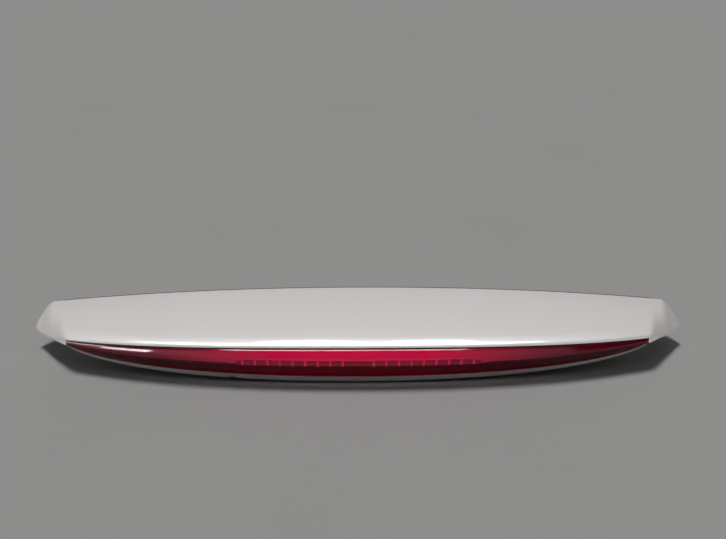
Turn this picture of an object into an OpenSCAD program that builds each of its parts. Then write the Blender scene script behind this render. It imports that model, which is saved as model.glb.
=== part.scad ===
// Rear spoiler for a hatchback tailgate, with a stop lamp along its whole rear edge.
// Two bonded skins carry the lamp, and four studs hold the spoiler to the tailgate.
// +X is to the right seen from behind the car, +Y is forward, +Z is up.
// The origin is the middle of the stud pattern, on the pads that seat on the tailgate.

/* [Overall] */
// Width from tip to tip
width = 1190; // [1170:1:1240]
// Drop of the tips below the middle
crown = 28; // [22:1:32]
// Depth of the top skin at the middle
chord = 153; // [150:1:162]
// Fall of the top skin towards the rear, in degrees
slope = 6; // [4.5:0.5:7.5]
// Rise of the top skin above its straight chord
camber = 4; // [2:0.5:6]
// How far forward the trailing edge sweeps by the tips, as a share of the depth
sweep_ratio = 0.451; // [0.4:0.01:0.49]
// How far back the leading edge bows by the tips
lead_bow = 5; // [1:0.5:8]
// Distance of the leading edge in front of the stud pattern, as a share of the depth
lead_ratio = 0.333; // [0.32:0.01:0.36]
// Height of the leading edge above the seat of the studs
lead_z = 61; // [59:1:66]

/* [Top skin] */
// Wall of the top skin
skin_wall = 2.8; // [2.4:0.1:3]
// Width of the band that rolls over at the trailing edge
roll_w = 18; // [15:1:22]
// Drop of that band
roll_drop = 3.5; // [2.5:0.5:4.5]
// Height of the trailing edge under the roll
edge_h = 5.5; // [5.3:0.1:6.5]
// Depth of the flange that returns over the lamp
return_d = 11; // [9:0.5:13]
// Depth of the flange turned down at the leading edge
front_flange = 9; // [7:0.5:10]
// Radius of the leading edge
front_r = 3; // [2:0.5:4]

/* [End wings] */
// Distance of the bend from the tip at the leading edge
bend_front = 17; // [15:1:20]
// Distance of the bend from the tip at the trailing edge
bend_rear = 55; // [51:1:60]
// Distance of the tip behind the leading edge
tip_back = 45; // [41:1:49]
// Angle by which the wing turns down, in degrees
wing_angle = 40; // [34:1:44]
// Height of the wing's rear wall beside the lens
wing_wall_h = 14.5; // [13:0.5:16]
// Share of that wall that the skin takes up by rolling over it
wing_roll = 0.5; // [0.3:0.05:0.55]

/* [Lamp] */
// Distance of the end of the lens from the tip
lens_inset = 90; // [86:1:98]
// Height of the lens above its crease
lens_upper_h = 30.5; // [29:0.5:33]
// Height of the lens below its crease
lens_lower_h = 21.5; // [20:0.5:24]
// Height of the lens at its two ends
lens_end_h = 4; // [3.5:0.5:5]
// How far the crease stands out behind the trailing edge
lens_lean = 10; // [8:0.5:12]
// Wall of the lens
lens_wall = 2.8; // [2.4:0.1:3.2]
// Joint between the trailing edge and the lens
lens_gap = 3.5; // [3:0.5:4.5]
// Depth of the lamp housing, as a share of the depth
housing_ratio = 0.17; // [0.165:0.005:0.18]
// Wall of the lamp housing
housing_wall = 2; // [1.8:0.1:2.4]
// Spacing of the light diodes
led_pitch = 21.2; // [20:0.2:23]
// Distance of the first diode on each side from the middle
led_first = 26; // [20:1:28]

/* [Lower skin] */
// Wall of the lower skin
floor_wall = 2.6; // [2.2:0.1:3]
// Height of the painted lip under the lens
lip_h = 11.5; // [10:0.5:13]
// Height of the lip at the ends of the lens
lip_end_h = 4; // [3.5:0.5:4.5]
// Depth of the shelf under the lamp, as a share of the depth
shelf_ratio = 0.3; // [0.29:0.01:0.32]
// Height of the mounting land over the seat of the studs, beside them
land_z = 2.4; // [1.8:0.2:3.4]
// Width of the drain notch in the lip
notch_w = 19; // [14:1:24]
// Height of the drain notch
notch_h = 4.5; // [3:0.5:6]
// Distance of the drain notch to the left of the middle
notch_x = 214; // [204:1:224]

/* [Fixings] */
// Spacing of the studs across the car, as a share of the width
stud_ratio_x = 0.5546; // [0.5:0.01:0.58]
// Spacing of the studs along the car, as a share of the depth
stud_ratio_y = 0.235; // [0.22:0.005:0.245]
// Radius of the studs
stud_r = 3; // [2.5:0.5:4]
// Length of the studs below their seat
stud_l = 22; // [16:1:30]
// Clearance round a stud in its hole
stud_clear = 0.4; // [0.2:0.1:0.6]
// Radius of the locating pins
pin_r = 4; // [3:0.5:5]
// Length of the locating pins below their seat
pin_l = 14; // [10:1:18]
// Distance of the locating pins from the middle
pin_x = 150; // [144:1:156]

/* [Hidden] */
half = width / 2;
sweep = sweep_ratio * chord;
lead_y = lead_ratio * chord;
housing_d = housing_ratio * chord;
shelf_d = shelf_ratio * chord;
stud_pitch_x = round(stud_ratio_x * width);
stud_pitch_y = round(stud_ratio_y * chord);
led_side = 9;
led_count = 2 * led_side;
function led_name(i) = str("led_", i < 10 ? "0" : "", i);

// Gap left between pieces that seat on each other
seat_gap = 0.2;
fine = 48;

// Blends used by the curves
function t(x) = x / half;
function mix(a, b, f) = a + (b - a) * f;
function ease(a, b, v) = let (f = min(max((v - a) / (b - a), 0), 1)) f * f * (3 - 2 * f);
function soft_min(a, b, k) = min(a, b) - max(k - abs(a - b), 0) ^ 2 / (4 * k);
function soft_ramp(d, k) = -soft_min(-d, 0, k);
function both_sides(list) = concat([for (i = [len(list) - 1 : -1 : 1]) -list[i]], list);

// Plan of the top skin
lens_half = half - lens_inset;
corner_x = half - bend_front;
tip_y = lead_y - tip_back;
trail_mid = lead_y - chord;
// Share of the sweep that grows with the square of the width, the rest grows with its fourth power
sweep_share = 0.6;
trail_slope = 0.55;
corner_soft = 20;
function bowed_front(x) = lead_y - lead_bow * t(x) ^ 4;
function bowed_trail(x) = trail_mid + sweep * (sweep_share * t(x) ^ 2 + (1 - sweep_share) * t(x) ^ 4);
trail_end = bowed_trail(lens_half);
trail_curve = (tip_y - trail_end - trail_slope * lens_inset) / lens_inset ^ 2;
function trail_y(x) = let (d = abs(x) - lens_half)
    d < 0 ? bowed_trail(x) : trail_end + trail_slope * d + trail_curve * d ^ 2;
end_slope = (tip_back - lead_bow) / bend_front;
function front_y(x) = soft_min(bowed_front(x), tip_y + end_slope * (half - abs(x)), corner_soft);
function depth_at(x) = front_y(x) - trail_y(x);

// Height of the top skin, with the wings turned down beyond a bend from corner to trailing edge
bend_soft = 10;
bend_y = trail_y(half - bend_rear);
bend_run = [bend_rear - bend_front, lead_y - lead_bow - bend_y];
function past_bend(x, y) =
    ((abs(x) - corner_x) * bend_run[1] - (y - lead_y + lead_bow) * bend_run[0]) / norm(bend_run);
function wing_drop(x, y) = tan(wing_angle) * soft_ramp(past_bend(x, y), bend_soft);
function crown_at(x) = crown * t(x) ^ 2;
function top_z(x, y) =
    let (d = bowed_front(x) - y, u = min(max(d / (bowed_front(x) - bowed_trail(x)), 0), 1),
         r = max(1 - (y - trail_y(x)) / roll_w, 0))
    lead_z - crown_at(x) - d * tan(slope) + 4 * camber * u * (1 - u)
    - (roll_drop + wing_roll_at(x)) * r * r - wing_drop(x, y);

// Paths are lists of [y, z] points, and their inside is to the left of the way they run
function unit(v) = v / norm(v);
function left_of(v) = [-v[1], v[0]];
function seg(p, i) = unit(p[i + 1] - p[i]);
function mitre(a, b) = (a + b) / (1 + a * b);
function inset(p, d) = let (n = len(p))
    [for (i = [0 : n - 1]) p[i] + d * (i == 0 ? left_of(seg(p, 0))
        : i == n - 1 ? left_of(seg(p, n - 2)) : mitre(left_of(seg(p, i - 1)), left_of(seg(p, i))))];
function at_x(x, p) = [for (q = p) [x, q[0], q[1]]];

// A sheet between two faces, each a list of stations across the width
module sheet(outer, inner) {
    n = len(outer);
    m = len(outer[0]);
    function o(i, j) = i * m + j;
    function q(i, j) = (n + i) * m + j;
    faces = [for (i = [0 : n - 2], j = [0 : m - 2]) each [
        [o(i, j), o(i + 1, j), o(i + 1, j + 1)], [o(i, j), o(i + 1, j + 1), o(i, j + 1)],
        [q(i, j), q(i + 1, j + 1), q(i + 1, j)], [q(i, j), q(i, j + 1), q(i + 1, j + 1)]]];
    rims = [for (i = [0 : n - 2]) each [
        [o(i, 0), q(i, 0), q(i + 1, 0)], [o(i, 0), q(i + 1, 0), o(i + 1, 0)],
        [o(i, m - 1), q(i + 1, m - 1), q(i, m - 1)], [o(i, m - 1), o(i + 1, m - 1), q(i + 1, m - 1)]]];
    ends = [for (j = [0 : m - 2]) each [
        [o(0, j), o(0, j + 1), q(0, j + 1)], [o(0, j), q(0, j + 1), q(0, j)],
        [o(n - 1, j), q(n - 1, j + 1), o(n - 1, j + 1)], [o(n - 1, j), q(n - 1, j), q(n - 1, j + 1)]]];
    polyhedron(concat([for (s = outer) each s], [for (s = inner) each s]), concat(faces, rims, ends));
}

// Stations lie closer together towards the pointed ends of the lens and in the wings
lens_steps = 16;
half_lens = [for (i = [0 : lens_steps]) lens_half * sin(90 * i / lens_steps)];
lens_stations = both_sides(half_lens);
wing_start = half - bend_rear;
tip_run = 2 * bend_front;
tip_gap = 0.4;
// Past the end of the lens the flange swings down between these two distances
hem_start = 0.5;
hem_end = 4.5;
tuck_end = 1.5;
skin_stations = both_sides(concat(half_lens,
    [for (d = [hem_start, 2, 3.2, hem_end]) lens_half + d],
    [for (i = [1 : 4]) mix(lens_half + hem_end, wing_start, i / 4)],
    [for (i = [1 : 3]) mix(wing_start, half - tip_run, i / 3)],
    [for (i = [1 : 8]) half - tip_gap - (tip_run - tip_gap) * (1 - i / 8) ^ 1.5]));

// Top skin
full_depth = 26;
function size_at(x) = min(1, depth_at(x) / full_depth);
function wall_at(x) = min(skin_wall, 0.25 * depth_at(x));
// The return flange narrows towards the end of the lens, and past it becomes the wing's rear wall
flange_end_d = 3;
flange_fade = [30, 4];
wall_full_depth = 80;
wing_roll_run = 30;
function hem(x) = ease(lens_half + hem_start, lens_half + hem_end, abs(x));
function flange_at(x) =
    let (fade = ease(lens_half - flange_fade[0], lens_half - flange_fade[1], abs(x)))
    mix(return_d, flange_end_d, fade) * (1 - hem(x));
function full_wall_at(x) = wing_wall_h * min(1, depth_at(x) / wall_full_depth) ^ 1.3;
function wing_roll_at(x) =
    wing_roll * full_wall_at(x) * ease(lens_half + hem_start, lens_half + wing_roll_run, abs(x));
function wing_wall_at(x) = full_wall_at(x) - wing_roll_at(x);
function skin_path(x) =
    let (k = size_at(x), yf = front_y(x), yt = trail_y(x), r = front_r * k, band = roll_w * k,
         zf = top_z(x, yf), zt = top_z(x, yt), h = wing_wall_at(x) * hem(x), f = flange_at(x))
    concat(
        [[yf - 0.3 * r, zf - front_flange * k], [yf, zf - 1.2 * r],
         [yf - 0.25 * r, zf - 0.4 * r], [yf - r, zf - 0.05 * r]],
        [for (i = [1 : 6]) let (y = mix(yf - r, yt + band, i / 6)) [y, top_z(x, y)]],
        [for (i = [1 : 4]) let (y = yt + band * (1 - i / 4)) [y, top_z(x, y)]],
        [[yt + 0.2 * k, zt - 0.5 * edge_h * k], [yt + k, zt - edge_h * k],
         [yt + k + f, zt - edge_h * k - h]]);
function skin_underside(x, y) = top_z(x, y) - skin_wall - 0.1;

boss_r = 5;
screw_r = 2;
skin_screw_l = 14;
screw_bore_l = 16;
skin_screw_y = 0.08 * chord;
skin_screw_xs = half * [-0.44, -0.1, 0.1, 0.44];
module upper_skin() {
    color("gainsboro")
        difference() {
            union() {
                sheet([for (x = skin_stations) at_x(x, skin_path(x))],
                      [for (x = skin_stations) at_x(x, inset(skin_path(x), wall_at(x)))]);
                for (x = skin_screw_xs)
                    let (z = land_top(x, skin_screw_y) + seat_gap)
                        translate([x, skin_screw_y, z])
                            cylinder(r = boss_r, h = skin_underside(x, skin_screw_y) + 1 - z, $fn = fine);
            }
            for (x = skin_screw_xs)
                translate([x, skin_screw_y, land_top(x, skin_screw_y) - 1])
                    cylinder(r = screw_r, h = screw_bore_l, $fn = fine);
        }
}

// Lens, with an upper face and a lower face that meet in a crease
function bulge(x, p) = max(1 - (x / lens_half) ^ 2, 0) ^ p;
function edge_low(x) = [trail_y(x) + 1, top_z(x, trail_y(x)) - edge_h];
function lens_top(x) = edge_low(x) + [0, -lens_gap * mix(0.5, 1, bulge(x, 0.5))];
function lens_crease(x) = edge_low(x)
    + [-1 - lens_lean * bulge(x, 0.6), -(lens_gap + lens_end_h) / 2 - (lens_upper_h - 3) * bulge(x, 0.7)];
function lens_foot(x) = lens_crease(x)
    + [2 * bulge(x, 0.5), -lens_end_h / 2 - (lens_lower_h - 2) * bulge(x, 0.5)];
function lens_path(x) =
    let (a = lens_top(x), b = lens_crease(x), c = lens_foot(x), k = bulge(x, 0.5))
    [a, mix(a, b, 0.1) + k * [-0.5, 0.4], mix(a, b, 0.5) + k * [-1.2, 0.8], mix(a, b, 0.93),
     mix(b, c, 0.07), mix(b, c, 0.6) + k * [-0.4, 0], c];
function lens_wall_at(x) = min(lens_wall, 0.4 * (lens_top(x)[1] - lens_foot(x)[1]));
module lamp_lens() {
    color("crimson")
        sheet([for (x = lens_stations) at_x(x, lens_path(x))],
              [for (x = lens_stations) at_x(x, inset(lens_path(x), lens_wall_at(x)))]);
}

// Lamp housing, a channel whose two rims seat behind the lens
housing_share = 0.992;
housing_end_d = 7;
function housing_back(x) = edge_low(x)[0] + mix(housing_end_d, housing_d, bulge(x, 0.4));
function lens_inside(x) = inset(lens_path(x), lens_wall_at(x) + seat_gap);
function housing_path(x) =
    let (f = lens_inside(x), n = len(f), top = f[0][1], low = f[n - 1][1],
         y = housing_back(x), k = bulge(x, 0.4))
    [mix(f[n - 1], f[n - 2], 0.1), [y - 3 * k, low + 1.5 * k], [y, low + 4.5 * k + 0.1],
     [y, top - 3 * k - 0.1], [y - 3 * k, top - 0.5 * k], mix(f[0], f[1], 0.3)];
function housing_wall_at(x) = min(housing_wall, 0.7 * lens_wall_at(x));
housing_stations = housing_share * lens_stations;

// Ears on the back of the housing stand on posts of the lower skin
ear_xs = half * [-0.555, -0.336, -0.118, 0.118, 0.336, 0.555];
ear_t = 2.5;
ear_w = 14;
ear_d = 12;
ear_out = 6.5;
ear_lift = 13;
post_r = 4;
lamp_screw_r = 1.9;
lamp_screw_l = 12;
screw_clear = 0.3;
head_r = 3.6;
head_h = 2.4;
function ear_z(x) = lens_foot(x)[1] + ear_lift;
function ear_y(x) = housing_back(x) + ear_out;
socket_x = 0;
socket_z = 19;
socket_w = 20;
socket_h = 12;
socket_d = 16;
tongue_w = 16;
tongue_h = 8;
blade_w = 2.8;
blade_t = 0.8;
blade_x = 3.5;
socket_wall = 1.6;
module lamp_housing() {
    color("dimgray")
        difference() {
            union() {
                sheet([for (x = housing_stations) at_x(x, housing_path(x))],
                      [for (x = housing_stations) at_x(x, inset(housing_path(x), housing_wall_at(x)))]);
                for (x = ear_xs)
                    translate([x - ear_w / 2, housing_back(x) - 0.8, ear_z(x)]) cube([ear_w, ear_d, ear_t]);
            }
            for (x = ear_xs)
                translate([x, ear_y(x), ear_z(x) - 1])
                    cylinder(r = lamp_screw_r + screw_clear, h = ear_t + 2, $fn = fine);
            translate([socket_x, housing_back(socket_x), socket_z])
                cube([tongue_w + 2 * seat_gap, 10, tongue_h + 2 * seat_gap], center = true);
        }
}
// A screw with its point down and its head resting at the height 0
module screw(r, l) {
    rotate_extrude($fn = fine)
        polygon([[0, -l], [0.3 * r, -l], [r, -l + r], [r, 0], [head_r, 0], [head_r, 0.6 * head_h],
                 [0.7 * head_r, head_h], [0, head_h]]);
}
module lamp_screws() {
    color("silver")
        for (x = ear_xs) translate([x, ear_y(x), ear_z(x) + ear_t + 0.02]) screw(lamp_screw_r, lamp_screw_l);
}

// Light box inside the housing: a board of diodes behind a clear ribbed channel
led_w = 3.5;
led_t = 1.4;
led_h = 2.8;
board_t = 1.6;
board_h = 15;
optic_wall = 1.5;
optic_h = 18;
optic_depth = 19;
led_xs = both_sides([for (i = [0 : led_side]) i == 0 ? 0 : led_first + (i - 1) * led_pitch]);
box_half = led_first + (led_side - 1) * led_pitch + 12;
box_stations = both_sides([for (i = [0 : 10]) box_half * i / 10]);
function box_back(x) = housing_back(x) - housing_wall - seat_gap;
function led_z(x) = lens_crease(x)[1] - 2;
function turn_at(x) = atan2(housing_back(x + 1) - housing_back(x - 1), 2);
module led_board() {
    function face(x) = [[box_back(x), led_z(x) - board_h / 2], [box_back(x), led_z(x) + board_h / 2]];
    color("seagreen")
        sheet([for (x = box_stations) at_x(x, face(x))],
              [for (x = box_stations) at_x(x, inset(face(x), board_t))]);
}
// Carries a piece onto the front face of the board
module on_board(x, dz) {
    translate([x, box_back(x) - board_t, led_z(x) + dz]) rotate([0, 0, turn_at(x)]) children();
}
module led(i) {
    x = led_xs[i <= led_side ? i - 1 : i];
    color("gold") on_board(x, 0) {
        translate([-led_w / 2, -led_t, -led_h / 2]) cube([led_w, led_t, led_h]);
    }
}
module board_resistors() {
    color("black")
        for (i = [1 : 2 : led_side - 2], side = [-1, 1])
            on_board(side * (led_first + (i + 0.5) * led_pitch), -4.5)
                translate([-1.6, -0.6, -0.8]) cube([3.2, 0.6, 1.6]);
}
rib_w = 2.4;
rib_out = 1.4;
optic_stations = both_sides(concat([0], [for (i = [0 : led_side - 1]) let (x = led_first + i * led_pitch)
    each [x - rib_w, x, x + rib_w]], [box_half]));
function optic_path(x, out) =
    let (y = box_back(x), z = led_z(x), h = optic_h / 2)
    [[y - 0.1, z - h], [y - optic_depth - out, z - h], [y - optic_depth - 1.5 - out, z],
     [y - optic_depth - out, z + h], [y - 0.1, z + h]];
function rib_at(i) = i > 0 && i < len(optic_stations) - 1 && optic_stations[i] != 0
    && min([for (x = led_xs) x == 0 ? 99 : abs(x - optic_stations[i])]) < 0.1 ? rib_out : 0;
module inner_optic() {
    last = len(optic_stations) - 1;
    color("mistyrose")
        sheet([for (i = [0 : last]) at_x(optic_stations[i], optic_path(optic_stations[i], rib_at(i)))],
              [for (x = optic_stations) at_x(x, optic_inner(x))]);
}
function optic_inner(x) = let (p = optic_path(x, 0), w = optic_wall)
    [p[0] + [0, w], p[1] + [w, w], p[2] + [w, 0], p[3] + [w, -w], p[4] + [0, -w]];

// Inclined mirror that rises from above the front of the light box to the housing's top corner
mirror_t = 1.2;
mirror_share = 0.9;
mirror_reach = 0.62;
mirror_rise = 0.5;
module lamp_reflector() {
    stations = mirror_share * lens_stations;
    function rear(x) = [box_back(x) - 0.8, lens_inside(x)[0][1] - housing_wall - 2.6 * bulge(x, 0.4) - 0.5];
    function face(x) =
        let (a = rear(x), b = a - mirror_reach * (a[0] - lens_inside(x)[4][0]) * [1, mirror_rise])
        [a, mix(a, b, 0.5) - [0, 0.6 * bulge(x, 0.4)], b];
    function thickness(x) = min(mirror_t, 0.4 * housing_wall_at(x) + 0.3);
    color("silver")
        sheet([for (x = stations) at_x(x, face(x))],
              [for (x = stations) at_x(x, inset(face(x), thickness(x)))]);
}

// Socket on the back of the housing, open to the front, with two blades
module lamp_connector() {
    y = housing_back(socket_x) + seat_gap;
    color("black")
        translate([socket_x, y, socket_z]) difference() {
            union() {
                translate([-socket_w / 2, 0, -socket_h / 2]) cube([socket_w, socket_d, socket_h]);
                translate([-tongue_w / 2, -3, -tongue_h / 2]) cube([tongue_w, 3.5, tongue_h]);
            }
            translate([-socket_w / 2 + socket_wall, 2.5, -socket_h / 2 + socket_wall])
                cube([socket_w - 2 * socket_wall, socket_d, socket_h - 2 * socket_wall]);
            for (side = [-1, 1])
                translate([side * blade_x - blade_w / 2, -5, -blade_t / 2]) cube([blade_w, 10, blade_t]);
        }
}
module connector_pins() {
    y = housing_back(socket_x) + seat_gap;
    color("goldenrod")
        for (side = [-1, 1])
            translate([socket_x + side * blade_x - blade_w / 2, y - 3, socket_z - blade_t / 2])
                cube([blade_w, 13, blade_t]);
}

// Foam strip between the return flange and the lamp
gasket_share = 0.95;
module lamp_gasket() {
    stations = gasket_share * lens_stations;
    function low(x) =
        let (p = housing_path(x), n = len(p))
        [mix(p[n - 1], p[n - 2], 0.15), mix(p[n - 1], p[n - 2], 0.55)];
    color("darkslategray")
        sheet([for (x = stations) at_x(x, [for (q = low(x)) q + [0, seat_gap]])],
              [for (x = stations) at_x(x, [for (q = low(x)) [q[0], edge_low(x)[1] - seat_gap]])]);
}

// Lower skin: painted lip, shelf under the lamp, riser, mounting land and front flange
function lip_at(x) = mix(lip_end_h, lip_h, bulge(x, 0.45));
// Near the ends of the lens the lower skin tucks in behind the wing's rear wall
function tuck(x) = ease(lens_half - 1, lens_half + tuck_end, abs(x));
function lip_top(x) =
    let (wing = edge_low(x) + [flange_at(x) + wall_at(x) + seat_gap, lip_end_h - wing_wall_at(x)])
    mix(lens_foot(x) + [0.3, -1], wing, tuck(x));
function lip_low(x) = lip_top(x) + [0, -lip_at(x)];
function front_edge(x) =
    let (y = front_y(x)) [y - 0.3 * front_r - wall_at(x) - seat_gap, top_z(x, y)];
riser_run = 0.078 * chord;
front_run = 0.11 * chord;
front_step = 6;
wing_fade = [110, 10];
function land_at(x) = land_z + crown_at(stud_pitch_x / 2) - crown_at(x);
function to_wing(x) = ease(lens_half - wing_fade[0], lens_half - wing_fade[1], abs(x));
function floor_part(x) =
    let (a = lip_low(x), e = front_edge(x), z = land_at(x), e1 = e + [0, -front_flange - 2],
         mid = [a + [shelf_d, 1.5], [a[0] + shelf_d + riser_run, z],
                [e[0] - front_run, z + 1], [e[0] - front_step, mix(z, e1[1], 0.7)]],
         wing = [for (f = [0.3, 0.5, 0.75, 0.9]) mix(a, e1, f) + [0, -3 * sin(180 * f)]])
    concat([a + [min(3, 0.6 * lip_at(x)), 0]], [for (i = [0 : 3]) mix(mid[i], wing[i], to_wing(x))], [e1]);
function floor_path(x) =
    let (a = lip_low(x), r = min(3, 0.6 * lip_at(x)))
    concat([lip_top(x), a + [0, r], a + [0.3, 0.3] * r], floor_part(x),
           [front_edge(x) + [0, -skin_wall - 1.5]]);
function floor_z(x, y) = lookup(y, floor_part(x));
function land_top(x, y) = floor_z(x, y) + floor_wall + 0.1;
floor_in = 26;
floor_end = half - floor_in;
floor_stations = both_sides(concat(half_lens,
    [for (d = [0.7, tuck_end, 3.2, hem_end]) lens_half + d],
    [for (i = [1 : 5]) mix(lens_half + hem_end, floor_end, i / 5)]));

// A collar fills the hole of the pad round each stud, and ends this far below the seat
collar_r = stud_r + 0.4;
collar_below = 0.3;
stud_point = 1;
// The pins stand on flat round bases under the land
pin_base_r = pin_r + 4;
pin_base_t = 2.2;
pin_point = 2;
pin_seat = floor_z(pin_x + pin_base_r, -pin_base_r) - 0.6;
// The pads stand apart by this gap, and the plates reach past the studs by this margin
pad_gap = 14;
pad_r = (stud_pitch_y - pad_gap) / 2;
seal_w = 2.5;
seal_t = 2.6;
seal_below = 1.5;
plate_margin = 9;
plate_w = 30;
plate_d = stud_pitch_y + 2 * plate_margin;
plate_t = 2.5;
plate_rise = 2;
plate_z = land_z + floor_wall + plate_rise;
plate_rim = 2;
rib_t = 2;
rib_h = 12;
rib_d = 0.36 * chord;
rib_xs = [for (side = [-1, 1], f = [0.067, 0.202, 0.303, 0.395, 0.487, 0.622]) side * half * f];
clip_y = 0.11 * chord;
clip_xs = half * [-0.353, -0.151, 0.151, 0.353];
clip_r = 3;
clip_l = 20;
clip_head_r = 8;
clip_head_t = 1.8;
opening_w = 40;
opening_y = chord * [-0.29, -0.13];
end_pad_in = 50;
end_pad_r = 8;
end_pad_t = 6;
end_pad_y = 0.12 * chord;
stem_r = 3;
// Tools cut past both faces of a wall by this much
past = 5;
module at_studs() {
    for (sx = [-1, 1], sy = [-1, 1])
        translate([sx * stud_pitch_x / 2, sy * stud_pitch_y / 2, 0]) children();
}
module lower_skin() {
    color("whitesmoke")
        difference() {
            union() {
                sheet([for (x = floor_stations) at_x(x, floor_path(x))],
                      [for (x = floor_stations) at_x(x, inset(floor_path(x), floor_wall))]);
                at_studs() cylinder(r = pad_r, h = plate_z - 1, $fn = fine);
                for (side = [-1, 1])
                    translate([side * stud_pitch_x / 2, 0, plate_z - (plate_rise + 1) / 2])
                        cube([plate_w + 2 * plate_rim, plate_d + 2 * plate_rim, plate_rise + 1],
                             center = true);
                for (x = rib_xs)
                    translate([x - rib_t / 2, -rib_d / 2, floor_z(x, 0) + 1]) cube([rib_t, rib_d, rib_h]);
                for (x = ear_xs)
                    let (z = floor_z(x, ear_y(x)) + 1)
                        translate([x, ear_y(x), z]) cylinder(r = post_r, h = ear_z(x) - z, $fn = fine);
                for (side = [-1, 1]) translate([side * pin_x, 0, pin_seat - pin_l]) {
                    translate([0, 0, pin_point]) cylinder(r = pin_r, h = pin_l, $fn = fine);
                    cylinder(r1 = 0.6 * pin_r, r2 = pin_r, h = pin_point, $fn = fine);
                    translate([0, 0, pin_l]) cylinder(r = pin_base_r, h = pin_base_t, $fn = fine);
                }
            }
            at_studs()
                translate([0, 0, -past])
                    cylinder(r = collar_r + stud_clear, h = plate_z + 2 * past, $fn = fine);
            for (x = ear_xs)
                translate([x, ear_y(x), ear_z(x) - lamp_screw_l])
                    cylinder(r = screw_r, h = lamp_screw_l + 1, $fn = fine);
            for (x = skin_screw_xs)
                translate([x, skin_screw_y, floor_z(x, skin_screw_y) - past])
                    cylinder(r = screw_r + screw_clear, h = floor_wall + 2 * past, $fn = fine);
            for (x = clip_xs)
                translate([x, clip_y, floor_z(x, clip_y) - past])
                    cylinder(r = clip_r + screw_clear, h = floor_wall + 2 * past, $fn = fine);
            for (side = [-1, 1]) let (x = side * (half - end_pad_in))
                translate([x, end_pad_y, floor_z(x, end_pad_y) - past])
                    cylinder(r = stem_r + seat_gap, h = floor_wall + 2 * past, $fn = fine);
            translate([-opening_w / 2, opening_y[0], land_at(0) - past])
                cube([opening_w, opening_y[1] - opening_y[0], floor_wall + 2 * past]);
            drain_notch();
        }
}
module drain_notch() {
    r = (notch_w ^ 2 / 4 + notch_h ^ 2) / (2 * notch_h);
    a = lip_low(notch_x);
    translate([-notch_x, a[0] - 2, a[1] + notch_h - r]) rotate([-90, 0, 0]) cylinder(r = r, h = 15, $fn = 64);
}

// Fixings and seals
module stud_plate(side) {
    color("silver")
        translate([side * stud_pitch_x / 2, 0, 0]) union() {
            translate([-plate_w / 2, -plate_d / 2, plate_z + seat_gap]) cube([plate_w, plate_d, plate_t]);
            for (sy = [-1, 1]) translate([0, sy * stud_pitch_y / 2, -stud_l]) {
                cylinder(r1 = stud_r - stud_point, r2 = stud_r, h = stud_point, $fn = fine);
                translate([0, 0, stud_point]) cylinder(r = stud_r, h = stud_l, $fn = fine);
                translate([0, 0, stud_l - collar_below])
                    cylinder(r = collar_r, h = collar_below + plate_z + 1, $fn = fine);
            }
        }
}
module left_stud_plate() { stud_plate(-1); }
module right_stud_plate() { stud_plate(1); }
module pad_seals() {
    color("black")
        at_studs() translate([0, 0, -seal_below]) difference() {
            cylinder(r = pad_r + seal_w, h = seal_t, $fn = fine);
            translate([0, 0, -1]) cylinder(r = pad_r + seat_gap, h = seal_t + 2, $fn = fine);
        }
}
module push_clips() {
    color("ivory")
        for (x = clip_xs)
            translate([x, clip_y, land_top(x, clip_y) + seat_gap]) rotate_extrude($fn = fine)
                polygon(concat(
                [[0, clip_head_t], [clip_head_r - 1, clip_head_t], [clip_head_r, 0.4 * clip_head_t],
                 [clip_head_r, 0], [clip_r, 0], [clip_r, -0.22 * clip_l]],
                [for (i = [0 : 3]) each [[clip_r * (1.45 - 0.1 * i), -clip_l * (0.3 + 0.15 * i)],
                                         [clip_r * 0.7, -clip_l * (0.4 + 0.15 * i)]]],
                [[0, -clip_l]]));
}
module skin_screws() {
    color("silver")
        for (x = skin_screw_xs)
            translate([x, skin_screw_y, floor_z(x, skin_screw_y) - seat_gap])
                mirror([0, 0, 1]) screw(screw_r - 0.1, skin_screw_l);
}
front_seal_t = 2.2;
front_seal_h = 10;
module front_seal() {
    stations = [for (x = skin_stations) if (abs(x) < corner_x - corner_soft) x];
    function face(x) =
        let (y = front_y(x) + seat_gap, z = top_z(x, front_y(x)) - 2)
        [[y, z], [y + 0.2, z - front_seal_h / 2], [y - 0.3, z - front_seal_h]];
    color("black")
        sheet([for (x = stations) at_x(x, face(x))],
              [for (x = stations) at_x(x, inset(face(x), front_seal_t))]);
}
foam_w = 10;
foam_t = 3;
foam_in = 20;
module shelf_foam() {
    stations = [for (x = lens_stations) if (abs(x) < lens_half - wing_fade[0]) x];
    function low(x) =
        let (y = lip_low(x)[0] + foam_in)
        [for (v = [y, y + foam_w]) [v, floor_z(x, v) - foam_t - seat_gap]];
    color("black")
        sheet([for (x = stations) at_x(x, low(x))],
              [for (x = stations) at_x(x, [for (q = low(x)) q + [0, foam_t]])]);
}
module end_pad(side) {
    x = side * (half - end_pad_in);
    r = end_pad_r;
    low = min([for (dx = [-r, 0, r], dy = [-r, r]) floor_z(x + dx, end_pad_y + dy)]);
    top = floor_z(x, end_pad_y) - low + floor_wall + 1;
    color("black")
        translate([x, end_pad_y, low - seat_gap]) rotate_extrude($fn = fine)
            polygon([[0, -end_pad_t], [0.8 * r, -end_pad_t], [r, -0.75 * end_pad_t], [r, 0],
                     [stem_r, 0], [stem_r, top], [0, top]]);
}
module left_end_pad() { end_pad(-1); }
module right_end_pad() { end_pad(1); }

upper_skin();
lower_skin();
lamp_lens();
lamp_housing();
lamp_reflector();
inner_optic();
led_board();
board_resistors();
lamp_connector();
connector_pins();
lamp_gasket();
lamp_screws();
left_stud_plate();
right_stud_plate();
pad_seals();
push_clips();
skin_screws();
front_seal();
shelf_foam();
left_end_pad();
right_end_pad();
for (i = [1 : led_count])
    led(i);
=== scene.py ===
import math

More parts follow.
